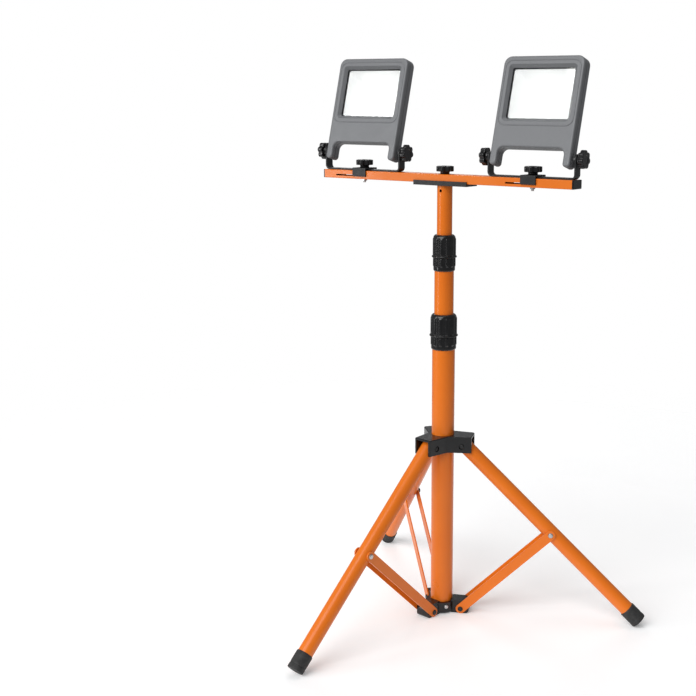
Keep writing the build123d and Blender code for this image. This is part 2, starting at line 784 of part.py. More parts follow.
def rear_housing(centre):
    """Rim with ears, a deeper body inside it, and upright cooling fins on the back."""
    rim = layer(head_outline(), rim_back, rim_front)
    rim = fillet(rim.faces().sort_by(Axis.Y)[-1].edges(), rim_edge_fillet)
    half = head_width / 2 - body_inset
    low = head_bottom + body_rise
    high = head_top - body_inset
    outline = Pos(0, (low + high) / 2) * RectangleRounded(2 * half, high - low, body_corner)
    body = layer(outline, body_back, rim_back + body_chamfer)
    body = chamfer(body.faces().sort_by(Axis.Y)[-1].edges(), body_chamfer)
    housing = rim + body
    floor = body_back + body_wall
    for index in range(fin_count):
        across = (index / (fin_count - 1) - 0.5) * 2 * (half - fin_side_gap)
        fin_outline = Pos(across, high - fin_top_gap - fin_length / 2) * Rectangle(
            fin_thickness, fin_length)
        fin = layer(fin_outline, body_back - fin_height, body_back + 1)
        fin = chamfer(fin.faces().sort_by(Axis.Y)[-1].edges().filter_by(Axis.X), body_chamfer)
        housing += fin
    cavity = window(-bevel_width - reflector_wall, bevel_width)
    housing -= layer(cavity, floor, rim_front)
    wiring = Pos(0, gland_height) * Rectangle(
        2 * (half - wiring_side_gap), 2 * (gland_height - low - wiring_edge_gap))
    housing -= layer(wiring, floor, rim_front)
    channel_top = window_centre - window_height / 2 + bevel_width + 2 * reflector_wall
    channel = Pos(0, (gland_height + channel_top) / 2) * Rectangle(
        wiring_channel, channel_top - gland_height)
    housing -= layer(channel, floor, rim_front)
    for hole in screw_holes(screw_radius + screw_gap, rim_back - 1, rim_front):
        housing -= hole
    seat = rim_back + screw_head_height
    for pocket in screw_holes(screw_head_radius + screw_pocket_gap, rim_back - 1, seat):
        housing -= pocket
    for side in (-1, 1):
        hole = Rot(Y=90) * rod(stud_radius + running_gap, ear_side - ear_width + 1, ear_side + 1)
        housing -= Rot(Z=0 if side > 0 else 180) * hole
    housing -= layer(
        Pos(0, gland_height) * Circle(gland_radius + fixed_gap), body_back - 1, rim_front)
    return head_place(centre) * housing


def reflector(centre):
    """Thin sloping tray from the glass down to the LED board."""
    front = seal_front - seal_depth
    back = body_back + body_wall + board_thickness
    outside = bevel_width + reflector_inset
    floor_width = board_width - 2 * reflector_board_lap
    floor_height = board_height - 2 * reflector_board_lap

    def slope(shrink, back_end, front_end):
        floor_outline = RectangleRounded(
            floor_width - 2 * shrink, floor_height - 2 * shrink,
            reflector_floor_corner - shrink / 2,
        )
        rim_outline = window(-outside - shrink, reflector_corner - shrink / 2)
        lower = Plane.XZ.offset(back_end) * Pos(0, window_centre) * floor_outline
        return loft([lower, Plane.XZ.offset(front_end) * rim_outline])

    tray = slope(0, back, front) - slope(reflector_wall, back - loft_lap, front + loft_lap)
    return head_place(centre) * tray


def led_board(centre):
    """Aluminium board with rows of LEDs, on the floor of the rear housing."""
    back = body_back + body_wall
    front = back + board_thickness
    board = layer(
        Pos(0, window_centre) * RectangleRounded(board_width, board_height, board_corner),
        back, front,
    )
    pitch_x = (board_width - 2 * led_margin) / (led_columns - 1)
    pitch_z = (board_height - 2 * led_margin) / (led_rows - 1)
    chips = Pos(0, window_centre) * GridLocations(pitch_x, pitch_z, led_columns, led_rows)
    for chip in chips:
        board += layer(chip * Rectangle(led_size, led_size), front, front + led_height)
    return head_place(centre) * board


def frame_screws(centre):
    """Pan-head screws from the back, through the rim and into the frame."""
    screws = []
    seat = rim_back + screw_head_height
    slot_floor = rim_back + screw_slot_depth
    for place_x, place_z in frame_screw_places:
        place = Pos(place_x, place_z)
        shank = layer(place * Circle(screw_radius), seat, head_front - screw_tip_depth)
        head = layer(place * Circle(screw_head_radius), rim_back, seat)
        head -= layer(place * Rectangle(screw_slot_length, screw_slot_width), rim_back, slot_floor)
        head -= layer(place * Rectangle(screw_slot_width, screw_slot_length), rim_back, slot_floor)
        screws.append(head_place(centre) * (shank + head))
    return screws


def cable_gland(centre):
    """Threaded stem in the housing's back, a hexagon against it and a domed clamping nut."""
    hexagon = RegularPolygon(gland_nut / 2, 6, major_radius=False)
    place = Pos(0, gland_height)
    nut_back = body_back - gland_nut_height
    stem = layer(place * Circle(gland_radius), body_back - 1, body_back + body_wall + 1)
    flange = layer(place * hexagon, nut_back, body_back)
    dome = layer(place * Circle(gland_dome_radius), body_back - gland_length, nut_back)
    dome = fillet(dome.faces().sort_by(Axis.Y)[-1].edges(), gland_dome_fillet)
    bore = layer(
        place * Circle(gland_bore), body_back - gland_length - 1, body_back + body_wall + 2)
    return head_place(centre) * (stem + flange + dome - bore)


# ---- write every piece ----------------------------------------------------------------
os.makedirs("parts", exist_ok=True)

save("bottom_hub", bottom_hub())
save("hub_screw", hub_screw())
save("brace_rivets", *in_leg_planes(brace_rivet))
save("upper_hub", upper_hub())
save("leg_rivets", *in_leg_planes(leg_rivet))
for number, azimuth in enumerate(leg_azimuths, start=1):
    turn = Rot(Z=azimuth)
    save(f"leg_tube_{number}", turn * leg_tube())
    save(f"foot_cap_{number}", turn * foot_cap())
    save(f"brace_strips_{number}", *[turn * strip for strip in brace_strips()])
    pins = cross_pin(bolt_sides[number - 1])
    save(f"brace_bolt_{number}", *[turn * piece for piece in pins])

save("lower_tube", lower_tube())
middle_top = tube_seat(upper_lock_height)
middle_foot = middle_top - middle_tube_length
upper_foot = mast_top - upper_tube_length
save("middle_tube", mast_tube(middle_tube_radius, middle_foot, middle_top))
save("upper_tube", upper_tube())
save("middle_guide_bush", guide_bush(middle_tube_radius, lower_tube_radius, middle_foot))
save("upper_guide_bush", guide_bush(upper_tube_radius, middle_tube_radius, upper_foot))
lock_places = {
    "lower": (lower_tube_radius, middle_tube_radius, lower_lock_height),
    "upper": (middle_tube_radius, upper_tube_radius, upper_lock_height),
}
for name, place in lock_places.items():
    save(f"{name}_lock_sleeve", lock_sleeve(*place))
    save(f"{name}_lock_nut", lock_nut(*place))
    save(f"{name}_collet", collet(*place))

save("bar_saddle", bar_saddle())
save("cross_bar", cross_bar())
save("bar_end_plugs", bar_plug(-1), bar_plug(1))
save("centre_knob", centre_knob())

for name, centre in zip(("left", "right"), head_centres):
    save(f"{name}_clamp", clamp_bracket(centre))
    save(f"{name}_clamp_knob", clamp_knob(centre))
    save(f"{name}_clamp_nut", clamp_nut(centre))
    save(f"{name}_yoke", yoke(centre))
    save(f"{name}_tilt_knob_a", tilt_knob(centre, -1))
    save(f"{name}_tilt_knob_b", tilt_knob(centre, 1))
    save(f"{name}_front_frame", front_frame(centre))
    save(f"{name}_glass", head_glass(centre))
    save(f"{name}_seal", head_seal(centre))
    save(f"{name}_reflector", reflector(centre))
    save(f"{name}_led_board", led_board(centre))
    save(f"{name}_rear_housing", rear_housing(centre))
    save(f"{name}_cable_gland", cable_gland(centre))
    save(f"{name}_frame_screws", *frame_screws(centre))
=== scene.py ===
import json
from math import ceil, cos, pi, radians, sin

import bpy
from mathutils import Matrix, Vector


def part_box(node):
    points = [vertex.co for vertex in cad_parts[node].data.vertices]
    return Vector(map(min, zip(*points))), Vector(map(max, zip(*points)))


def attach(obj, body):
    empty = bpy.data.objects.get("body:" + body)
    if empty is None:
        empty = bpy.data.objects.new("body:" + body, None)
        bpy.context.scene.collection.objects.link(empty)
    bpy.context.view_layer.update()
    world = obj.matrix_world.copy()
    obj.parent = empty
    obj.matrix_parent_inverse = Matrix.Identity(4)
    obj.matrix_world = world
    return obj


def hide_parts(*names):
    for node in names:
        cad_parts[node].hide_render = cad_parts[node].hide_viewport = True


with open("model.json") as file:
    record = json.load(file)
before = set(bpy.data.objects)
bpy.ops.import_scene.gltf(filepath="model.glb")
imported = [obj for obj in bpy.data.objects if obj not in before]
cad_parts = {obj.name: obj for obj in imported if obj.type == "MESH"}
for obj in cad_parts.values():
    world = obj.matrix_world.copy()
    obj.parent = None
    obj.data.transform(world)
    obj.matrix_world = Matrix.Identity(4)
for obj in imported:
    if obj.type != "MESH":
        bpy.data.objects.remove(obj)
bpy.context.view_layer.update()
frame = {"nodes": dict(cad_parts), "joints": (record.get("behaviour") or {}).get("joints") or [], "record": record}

# Work light: two flood heads on a cross bar, on a twist-lock mast with a folding tripod.
# Metres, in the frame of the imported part: +Z is up and the heads face -Y.

MM = 0.001
SIDES = ("left", "right")
JOINTS = {joint["name"]: joint for joint in frame["joints"]}
NODES = frame["nodes"]


# ---- material building blocks ---------------------------------------------------------

class Finish:
    """A node material with a Principled shader, read in the piece's own coordinates."""

    def __init__(self, name):
        self.material = bpy.data.materials.new(name)
        self.material.use_nodes = True
        self.nodes = self.material.node_tree.nodes
        self.links = self.material.node_tree.links
        self.shader = self.nodes["Principled BSDF"]
        self.place = self.nodes.new("ShaderNodeTexCoord").outputs["Object"]

    def set(self, **values):
        """Constants on the shader's own sockets: coat_weight sets Coat Weight."""
        for name, value in values.items():
            socket = self.shader.inputs[name.replace("_", " ").title().replace("Ior", "IOR")]
            socket.default_value = value
        return self

    def stretched(self, stretch):
        """The piece's coordinates, scaled along each axis."""
        mapping = self.nodes.new("ShaderNodeMapping")
        mapping.inputs["Scale"].default_value = stretch
        self.links.new(self.place, mapping.inputs["Vector"])
        return mapping.outputs["Vector"]

    def noise(self, size, detail=3.0, stretch=None):
        """Noise whose features are about size metres across."""
        texture = self.nodes.new("ShaderNodeTexNoise")
        texture.inputs["Scale"].default_value = 1 / size
        texture.inputs["Detail"].default_value = detail
        place = self.stretched(stretch) if stretch else self.place
        self.links.new(place, texture.inputs["Vector"])
        return texture.outputs["Fac"]

    def cells(self, size):
        texture = self.nodes.new("ShaderNodeTexVoronoi")
        texture.inputs["Scale"].default_value = 1 / size
        self.links.new(self.place, texture.inputs["Vector"])
        return texture.outputs["Distance"]

    def ramp(self, source, stops):
        """Colour ramp from (position, colour) stops; a number stands for a grey."""
        node = self.nodes.new("ShaderNodeValToRGB")
        band = node.color_ramp
        while len(band.elements) < len(stops):
            band.elements.new(1.0)
        for element, (position, colour) in zip(band.elements, stops):
            shade = (colour,) * 3 if isinstance(colour, (int, float)) else colour
            element.position = position
            element.color = (*shade, 1.0)
        self.links.new(source, node.inputs["Fac"])
        return node.outputs["Color"]

    def colour(self, source, stops):
        self.links.new(self.ramp(source, stops), self.shader.inputs["Base Color"])
        return self

    def roughness(self, source, low, high):
        stops = [(0.3, low), (0.7, high)]
        self.links.new(self.ramp(source, stops), self.shader.inputs["Roughness"])
        return self

    def bump(self, *layers, edge=0):
        """Each layer is (source, depth in metres); edge rounds the look of sharp corners."""
        normal = None
        if edge:
            round_edge = self.nodes.new("ShaderNodeBevel")
            round_edge.inputs["Radius"].default_value = edge
            normal = round_edge.outputs["Normal"]
        for source, depth in layers:
            node = self.nodes.new("ShaderNodeBump")
            node.inputs["Distance"].default_value = depth
            self.links.new(source, node.inputs["Height"])
            if normal is not None:
                self.links.new(normal, node.inputs["Normal"])
            normal = node.outputs["Normal"]
        self.links.new(normal, self.shader.inputs["Normal"])
        return self


# ---- finishes -------------------------------------------------------------------------

def orange_paint():
    """Gloss powder coat: faint orange peel, small colour drift and duller handled patches."""
    finish = Finish("orange_powder_coat")
    drift = finish.noise(90 * MM, 3)
    finish.colour(drift, [(0.3, (0.68, 0.146, 0.006)), (0.7, (0.73, 0.168, 0.009))])
    finish.roughness(finish.noise(40 * MM, 4), 0.27, 0.34)
    peel = finish.noise(1.6 * MM, 2)
    finish.bump((peel, 0.012 * MM), edge=0.4 * MM)
    finish.set(specular_ior_level=0.32, coat_weight=0.12, coat_roughness=0.08)
    return finish.material


def head_paint():
    """Graphite powder coat with fine metal flakes."""
    finish = Finish("graphite_powder_coat")
    flakes = finish.noise(0.35 * MM, 1)
    finish.colour(flakes, [(0.35, (0.137, 0.141, 0.148)), (0.65, (0.181, 0.186, 0.193))])
    finish.roughness(finish.noise(18 * MM, 5), 0.34, 0.44)
    finish.bump((finish.noise(0.5 * MM, 2), 0.01 * MM), edge=0.7 * MM)
    finish.set(metallic=0.15, specular_ior_level=0.35)
    return finish.material


def black_plastic():
    """Moulded plastic, glossy with duller patches, with a fine spark-eroded grain."""
    finish = Finish("moulded_black_plastic")
    shade = finish.noise(9 * MM, 5)
    finish.colour(shade, [(0.3, (0.004, 0.004, 0.0045)), (0.7, (0.008, 0.008, 0.0085))])
    finish.roughness(finish.noise(6 * MM, 4), 0.16, 0.26)
    finish.bump((finish.cells(0.45 * MM), 0.012 * MM), (finish.noise(4 * MM, 2), 0.02 * MM))
    finish.set(specular_ior_level=0.45)
    return finish.material


def black_steel():
    """Satin coat on pressed steel."""
    finish = Finish("satin_black_coat")
    shade = finish.noise(14 * MM, 4)
    finish.colour(shade, [(0.3, (0.008, 0.0085, 0.009)), (0.7, (0.014, 0.0145, 0.0155))])
    finish.roughness(finish.noise(8 * MM, 5), 0.34, 0.46)
    finish.bump((finish.noise(0.7 * MM, 2), 0.012 * MM), edge=0.6 * MM)
    finish.set(specular_ior_level=0.4)
    return finish.material


def bright_steel():
    """Zinc plate: bright, with a faint turned grain and dull spangles."""
    finish = Finish("zinc_plated_steel")
    finish.colour(finish.cells(1.2 * MM), [(0.2, (0.42, 0.43, 0.44)), (0.8, (0.58, 0.58, 0.57))])
    finish.roughness(finish.noise(1.5 * MM, 4, (1, 1, 8)), 0.2, 0.36)
    finish.bump((finish.noise(0.3 * MM, 2, (1, 1, 6)), 0.006 * MM))
    finish.set(metallic=1.0)
    return finish.material


def rubber(name, low, high):
    """Matt rubber with bloom and a pitted surface."""
    finish = Finish(name)
    finish.colour(finish.noise(7 * MM, 6), [(0.3, (low,) * 3), (0.75, (high,) * 3)])
    finish.roughness(finish.noise(5 * MM, 4), 0.62, 0.82)
    finish.bump((finish.noise(0.6 * MM, 3), 0.05 * MM))
    return finish.material


def clear_glass():
    finish = Finish("clear_toughened_glass")
    finish.colour(finish.noise(40 * MM, 2), [(0.3, (0.97, 0.985, 0.98)), (0.7, (0.99, 1.0, 0.995))])
    finish.roughness(finish.noise(30 * MM, 3), 0.0, 0.012)
    finish.set(ior=1.45, transmission_weight=1.0)
    return finish.material


def reflector_white():
    """White tray with a painted glow: its emission stands in for the light it gets from the lit board."""
    finish = Finish("white_reflector_painted_glow")
    finish.colour(finish.noise(12 * MM, 3), [(0.3, 0.9), (0.7, 0.96)])
    finish.roughness(finish.noise(4 * MM, 3), 0.3, 0.42)
    finish.bump((finish.noise(2 * MM, 2), 0.02 * MM))
    # painted light: the tray is no lamp, and this even glow stands in for the board's light falling on it
    finish.set(emission_color=(1.0, 1.0, 1.0, 1.0), emission_strength=0.3)
    return finish.material


def led_emitter():
    """Yellow-white phosphor on a white board, lit."""
    finish = Finish("lit_led_board")
    finish.colour(finish.noise(3 * MM, 2), [(0.3, (0.95, 0.93, 0.86)), (0.7, (1.0, 1.0, 0.97))])
    finish.roughness(finish.noise(2 * MM, 2), 0.35, 0.5)
    finish.set(emission_color=(1.0, 1.0, 0.985, 1.0), emission_strength=1.5)
    return finish.material


def natural_plastic():
    finish = Finish("natural_acetal")
    finish.colour(finish.noise(10 * MM, 4), [(0.3, (0.7, 0.68, 0.62)), (0.7, (0.78, 0.76, 0.71))])
    finish.roughness(finish.noise(4 * MM, 3), 0.35, 0.5)
    finish.bump((finish.noise(0.8 * MM, 2), 0.01 * MM))
    return finish.material


FINISHES = {
    "orange_paint": orange_paint(),
    "head_grey": head_paint(),
    "black_plastic": black_plastic(),
    "black_steel": black_steel(),
    "bright_steel": bright_steel(),
    "foot_rubber": rubber("foot_rubber", 0.012, 0.026),
    "seal_rubber": rubber("seal_silicone", 0.006, 0.012),
    "clear_glass": clear_glass(),
    "reflector_white": reflector_white(),
    "led_emitter": led_emitter(),
    "natural_plastic": natural_plastic(),
}


def finish_cad_nodes():
    """Every carried-over node gets the finish of its slot in the record."""
    for part in frame["record"]["subparts"]:
        mesh = NODES[part["node"]].data
        mesh.materials.clear()
        mesh.materials.append(FINISHES[part["material_slot"]])


# ---- mesh building blocks -------------------------------------------------------------

AXIS_RING = 0.1 * MM  # radius of the last ring before a profile's point on its axis
ROUND_SHARE = 0.45


def add_piece(name, vertices, faces, slot, body, replaced=()):
    mesh = bpy.data.meshes.new(name)
    mesh.from_pydata(vertices, [], faces)
    mesh.validate()
    mesh.shade_smooth()
    mesh.materials.append(FINISHES[slot])
    piece = bpy.data.objects.new(name, mesh)
    bpy.context.scene.collection.objects.link(piece)
    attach(piece, body)
    if replaced:
        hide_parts(*replaced)
    return piece


def turned(profile, steps, place, swell=None):
    """Vertices and faces of a closed surface turned about Z.

    profile is (radius, height, share) rows, and swell(angle) times the share is added to the
    radius. A profile that starts and ends on the axis is a knob; any other is a ring.
    """
    solid = profile[0][0] == 0
    rows = profile[1:-1] if solid else profile
    vertices = []
    for radius, height, share in rows:
        for step in range(steps):
            angle = 2 * pi * step / steps
            reach = radius + (share * swell(angle) if swell else 0)
            vertices.append(Vector((reach * cos(angle), reach * sin(angle), height)))
    faces = []
    bands = len(rows) - 1 if solid else len(rows)
    for band in range(bands):
        low = band * steps
        high = (band + 1) % len(rows) * steps
        for step in range(steps):
            after = (step + 1) % steps
            faces.append((low + step, low + after, high + after, high + step))
    if solid:
        for pole, start in ((profile[0], 0), (profile[-1], (len(rows) - 1) * steps)):
            vertices.append(Vector((0, 0, pole[1])))
            tip = len(vertices) - 1
            for step in range(steps):
                edge = (start + step, start + (step + 1) % steps)
                faces.append((tip, *edge) if start else (tip, *reversed(edge)))
    return [place @ vertex for vertex in vertices], faces


def rounded(corners, radius, steps=4):
    """Profile rows with each inner corner rounded; a corner is (radius, height, share).

    No cut takes more than ROUND_SHARE of the side it is on, so that two cuts never meet.
    """
    rows = [corners[0]]
    for before, corner, after in zip(corners, corners[1:], corners[2:]):
        here = Vector(corner)
        toward, away = Vector(before) - here, Vector(after) - here
        flat_toward, flat_away = toward.xy.length, away.xy.length
        cut = min(radius, ROUND_SHARE * flat_toward, ROUND_SHARE * flat_away)
        start = here + toward * (cut / flat_toward)
        end = here + away * (cut / flat_away)
        for step in range(steps + 1):
            share = step / steps
            rows.append(tuple(
                start * (1 - share) ** 2 + here * 2 * share * (1 - share) + end * share ** 2))
    rows.append(corners[-1])
    return rows


# ---- star knobs -----------------------------------------------------------------------

KNOB_LOBES = 7
KNOB_RADIUS = 14.4 * MM
KNOB_HEIGHT = 13.0 * MM
KNOB_BOSS = (7.6 * MM, 4.0 * MM)  # radius and height
KNOB_UNDERSIDE_SLOPE = 0.2 * MM
KNOB_DISH_RIM = 7.0 * MM
KNOB_DISH_FLOOR = 6.2 * MM
KNOB_DISH_DEPTH = 1.1 * MM
KNOB_DISH_CENTRE_DEPTH = 0.7 * MM
KNOB_EDGE_ROUND = 1.5 * MM
SCALLOP = 2.7 * MM
SCALLOP_SHARPNESS = 1.6
CENTRE_STUD_RADIUS = 3.0 * MM
STUD_RADIUS = 2.5 * MM
STUD_ENTRY = 0.4 * MM  # how far a stud runs into its moulding
THREAD_PITCH = 0.8 * MM
THREAD_DEPTH = 0.42 * MM
THREAD_ROWS = 6  # per turn
STUD_STEPS = 20
STUD_CHAMFER = 0.9 * MM
STUD_TIP_SHARE = 0.72  # of the stud's radius


def lobes(angle):
    """Nought on a lobe and minus one in the middle of a scallop."""
    return -(0.5 + 0.5 * cos(KNOB_LOBES * angle)) ** SCALLOP_SHARPNESS


def knob_profile():
    boss, shoulder = KNOB_BOSS
    rim = KNOB_RADIUS
    centre = KNOB_HEIGHT - KNOB_DISH_CENTRE_DEPTH
    corners = [
        (boss, 0, 0), (boss, shoulder, 0), (rim, shoulder + KNOB_UNDERSIDE_SLOPE, SCALLOP),
        (rim, KNOB_HEIGHT, SCALLOP), (KNOB_DISH_RIM, KNOB_HEIGHT, 0),
        (KNOB_DISH_FLOOR, KNOB_HEIGHT - KNOB_DISH_DEPTH, 0), (AXIS_RING, centre, 0),
    ]
    rows = rounded(corners, KNOB_EDGE_ROUND, 5)
    return [(0, 0, 0), *rows, (0, centre, 0)]


def threaded_rod(radius, low, high, place):
    """A rod with a real helical thread, and a chamfered tip at its lower end."""
    steps = STUD_STEPS
    rows = ceil((high - low) / THREAD_PITCH * THREAD_ROWS)
    vertices = []
    for row in range(rows + 1):
        height = low + (high - low) * row / rows
        taper = min(1.0, (height - low) / STUD_CHAMFER)
        chamfer = radius * (STUD_TIP_SHARE + (1 - STUD_TIP_SHARE) * taper)
        for step in range(steps):
            angle = 2 * pi * step / steps
            phase = (height / THREAD_PITCH - step / steps) % 1
            depth = THREAD_DEPTH * (1 - abs(2 * phase - 1))
            reach = min(radius - depth, chamfer)
            vertices.append(Vector((reach * cos(angle), reach * sin(angle), height)))
    faces = []
    for row in range(rows):
        for step in range(steps):
            after = (step + 1) % steps
            low_row, high_row = row * steps, (row + 1) * steps
            faces.append((low_row + step, low_row + after, high_row + after, high_row + step))
    faces.append(tuple(reversed(range(steps))))
    faces.append(tuple(rows * steps + step for step in range(steps)))
    return [place @ vertex for vertex in vertices], faces


def knob_and_stud(node, body, place, stud_radius, stud_length):
    """Replaces a CAD knob: the moulding in plastic, and its stud in steel."""
    vertices, faces = turned(knob_profile(), KNOB_LOBES * 16, place, lobes)
    add_piece(f"{node}_moulding", vertices, faces, "black_plastic", body, [node])
    vertices, faces = threaded_rod(stud_radius, -stud_length, STUD_ENTRY, place)
    add_piece(f"{node}_stud", vertices, faces, "bright_steel", body)


def star_knobs():
    """Each knob stands where its node's box says, along the way that its stud points."""
    for node, stud_radius in (
        ("centre_knob", CENTRE_STUD_RADIUS), ("left_clamp_knob", STUD_RADIUS),
        ("right_clamp_knob", STUD_RADIUS),
    ):
        low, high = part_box(node)
        seat = high.z - KNOB_HEIGHT
        axis = JOINTS[f"{node}_turn"]["pos_m"]
        place = Matrix.Translation((axis[0], axis[1], seat))
        knob_and_stud(node, node, place, stud_radius, seat - low.z)
    for side in SIDES:
        for letter, outwards in (("a", -1), ("b", 1)):
            node = f"{side}_tilt_knob_{letter}"
            low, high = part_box(node)
            axis = Vector(JOINTS[f"{side}_head_tilt"]["pos_m"])
            outer, inner = (high.x, low.x) if outwards > 0 else (low.x, high.x)
            seat = outer - outwards * KNOB_HEIGHT
            place = Matrix.Translation((seat, axis.y, axis.z))
            place = place @ Matrix.Rotation(outwards * pi / 2, 4, "Y")
            knob_and_stud(node, node, place, STUD_RADIUS, abs(seat - inner))


# ---- twist locks ----------------------------------------------------------------------

LOCK_RIBS = 12
RIB_HEIGHT = 1.3 * MM
RIB_HALF_WIDTH = 0.23  # share of the pitch
RIB_STEPS = 18
RIB_SQUARENESS = 6
LOCK_GAP = 0.4 * MM  # between the sleeve and its nut
SLEEVE_ON_TUBE = 0.04 * MM
NUT_ON_TUBE = 0.3 * MM
SLEEVE_EDGE = 0.7 * MM
NUT_EDGE = 0.9 * MM
FIRST_RIB = radians(18.2)


def rib_swell(angle):
    """Rounded ribs: one on a rib's crest and nought between ribs."""
    across = abs(((angle - FIRST_RIB) * LOCK_RIBS / (2 * pi) + 0.5) % 1 - 0.5)
    return RIB_HEIGHT * max(0.0, 1 - (across / RIB_HALF_WIDTH) ** RIB_SQUARENESS)


def ribbed_ring(node, body, corners, bore, edge):
    """A ring with grip ribs; corners run up the outside, and the bore closes it."""
    low, high = corners[0][1], corners[-1][1]
    profile = rounded([(bore, low, 0), *corners, (bore, high, 0)], edge, 4)
    vertices, faces = turned(profile, LOCK_RIBS * RIB_STEPS, Matrix.Identity(4), rib_swell)
    add_piece(f"{node}_moulding", vertices, faces, "black_plastic", body, [node])


def twist_lock(name, sleeve_body, nut_body, outer_tube, inner_tube):
    """A sleeve fixed on the outer tube, and the nut above it round the inner tube."""
    sleeve_low, sleeve_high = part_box(f"{name}_lock_sleeve")
    nut_low, nut_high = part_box(f"{name}_lock_nut")
    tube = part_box(outer_tube)[1].x
    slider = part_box(inner_tube)[1].x
    sleeve_top = nut_low.z - LOCK_GAP
    skirt = sleeve_high.x - RIB_HEIGHT
    foot = sleeve_low.z
    ribbed_ring(f"{name}_lock_sleeve", sleeve_body, [
        (skirt - 1.0 * MM, foot, 0), (skirt + 0.1 * MM, foot + 1.6 * MM, 0),
        (skirt + 0.1 * MM, foot + 7.0 * MM, 0), (skirt, foot + 9.0 * MM, 1),
        (skirt, sleeve_top - 1.2 * MM, 1), (skirt, sleeve_top, 0),
    ], tube + SLEEVE_ON_TUBE, SLEEVE_EDGE)
    flange = nut_high.x
    grip = skirt + LOCK_GAP
    low, top = nut_low.z, nut_high.z
    ribbed_ring(f"{name}_lock_nut", nut_body, [
        (flange - 0.5 * MM, low, 0), (flange, low + 0.6 * MM, 0), (flange, low + 2.2 * MM, 0),
        (grip, low + 3.4 * MM, 0.6), (grip, low + 4.6 * MM, 1),
        (grip, top - 7.0 * MM, 1), (grip + 0.2 * MM, top - 5.2 * MM, 0),
        (grip - 0.6 * MM, top - 2.4 * MM, 0), (grip - 3.0 * MM, top, 0),
    ], slider + NUT_ON_TUBE, NUT_EDGE)


# ---- feet -----------------------------------------------------------------------------

LEG_LENGTH = 422 * MM  # from the top pivot to the sole
LEG_RADIUS = 12.5 * MM
FOOT_WALL = 1.25 * MM
FOOT_LENGTH = 30 * MM
SOLE_THICKNESS = 4 * MM
FOOT_EDGE = 1.9 * MM
RING_DEPTH = 0.45 * MM
RING_LOW = 7 * MM
RING_HIGH = 10.2 * MM
RING_SLOPE = 1 * MM
LIP_HEIGHT = 1.4 * MM
LIP_WALL = 0.35 * MM
FOOT_ON_LEG = 0.05 * MM


def leg_frames():
    """Place of each leg's top pivot, with local Z pointing up along the leg."""
    top = Vector(JOINTS["upper_hub_hinge"]["pos_m"])
    reach = top.xy.length
    for number in (1, 2, 3):
        knee = Vector(JOINTS[f"leg_{number}_hinge"]["pos_m"])
        outwards = Vector((knee.x, knee.y, 0)).normalized()
        pivot = Vector((outwards.x * reach, outwards.y * reach, top.z))
        along = (pivot - knee).normalized()
        across = Vector(JOINTS[f"leg_{number}_hinge"]["axis"])
        turn = Matrix((along.cross(across) * -1, across, along)).transposed().to_4x4()
        yield number, Matrix.Translation(pivot) @ turn


def rubber_feet():
    """Moulded caps: a thick rounded sole, one shallow ring groove and a thinner lip."""
    sole = -LEG_LENGTH
    top = sole + FOOT_LENGTH
    floor = sole + SOLE_THICKNESS
    outside = LEG_RADIUS + FOOT_WALL
    inside = LEG_RADIUS + FOOT_ON_LEG
    groove = outside - RING_DEPTH
    corners = [
        (AXIS_RING, sole, 0), (outside, sole, 0), (outside, sole + RING_LOW, 0),
        (groove, sole + RING_LOW + RING_SLOPE, 0), (groove, sole + RING_HIGH - RING_SLOPE, 0),
        (outside, sole + RING_HIGH, 0), (outside, top - LIP_HEIGHT, 0),
        (LEG_RADIUS + LIP_WALL, top, 0), (inside, top, 0), (inside, floor, 0),
        (AXIS_RING, floor, 0),
    ]
    profile = [(0, sole, 0), *rounded(corners, FOOT_EDGE, 5), (0, floor, 0)]
    for number, place in leg_frames():
        vertices, faces = turned(profile, 64, place)
        add_piece(f"foot_{number}_moulding", vertices, faces, "foot_rubber", f"leg_{number}",
                  [f"foot_cap_{number}"])


# ---- brace bolts ----------------------------------------------------------------------

BOLT_STEPS = 48
HEAD_STEP = 0.6 * MM  # anything this much wider than the shank is a head or a nut
NUT_FLANGE = 1.3 * MM
NUT_SHOULDER = (1.0 * MM, 1.6 * MM)  # in from the rim, and up from the seat
NUT_DOME = (1.5 * MM, 0.3 * MM)  # in from the rim, and down from the tip
NUT_ROUND = 0.9 * MM
HEAD_FLANGE = 0.5 * MM
HEAD_DOME = (1.1 * MM, 0.2 * MM)
HEAD_ROUND = 0.5 * MM
SHANK_STOP = 2 * MM  # from the tip of the closed nut


def nut_profile(seat, rim, tip):
    corners = [
        (AXIS_RING, seat, 0), (rim, seat, 0), (rim, seat + NUT_FLANGE, 0),
        (rim - NUT_SHOULDER[0], seat + NUT_SHOULDER[1], 0),
        (rim - NUT_DOME[0], tip - NUT_DOME[1], 0), (AXIS_RING, tip, 0),
    ]
    return [(0, seat, 0), *rounded(corners, NUT_ROUND, 5), (0, tip, 0)]


def head_profile(inner, shank, seat, rim, tip):
    corners = [
        (AXIS_RING, inner, 0), (shank, inner, 0), (shank, seat, 0), (rim, seat, 0),
        (rim, seat + HEAD_FLANGE, 0), (rim - HEAD_DOME[0], tip - HEAD_DOME[1], 0),
        (AXIS_RING, tip, 0),
    ]
    return [(0, inner, 0), *rounded(corners, HEAD_ROUND, 5), (0, tip, 0)]


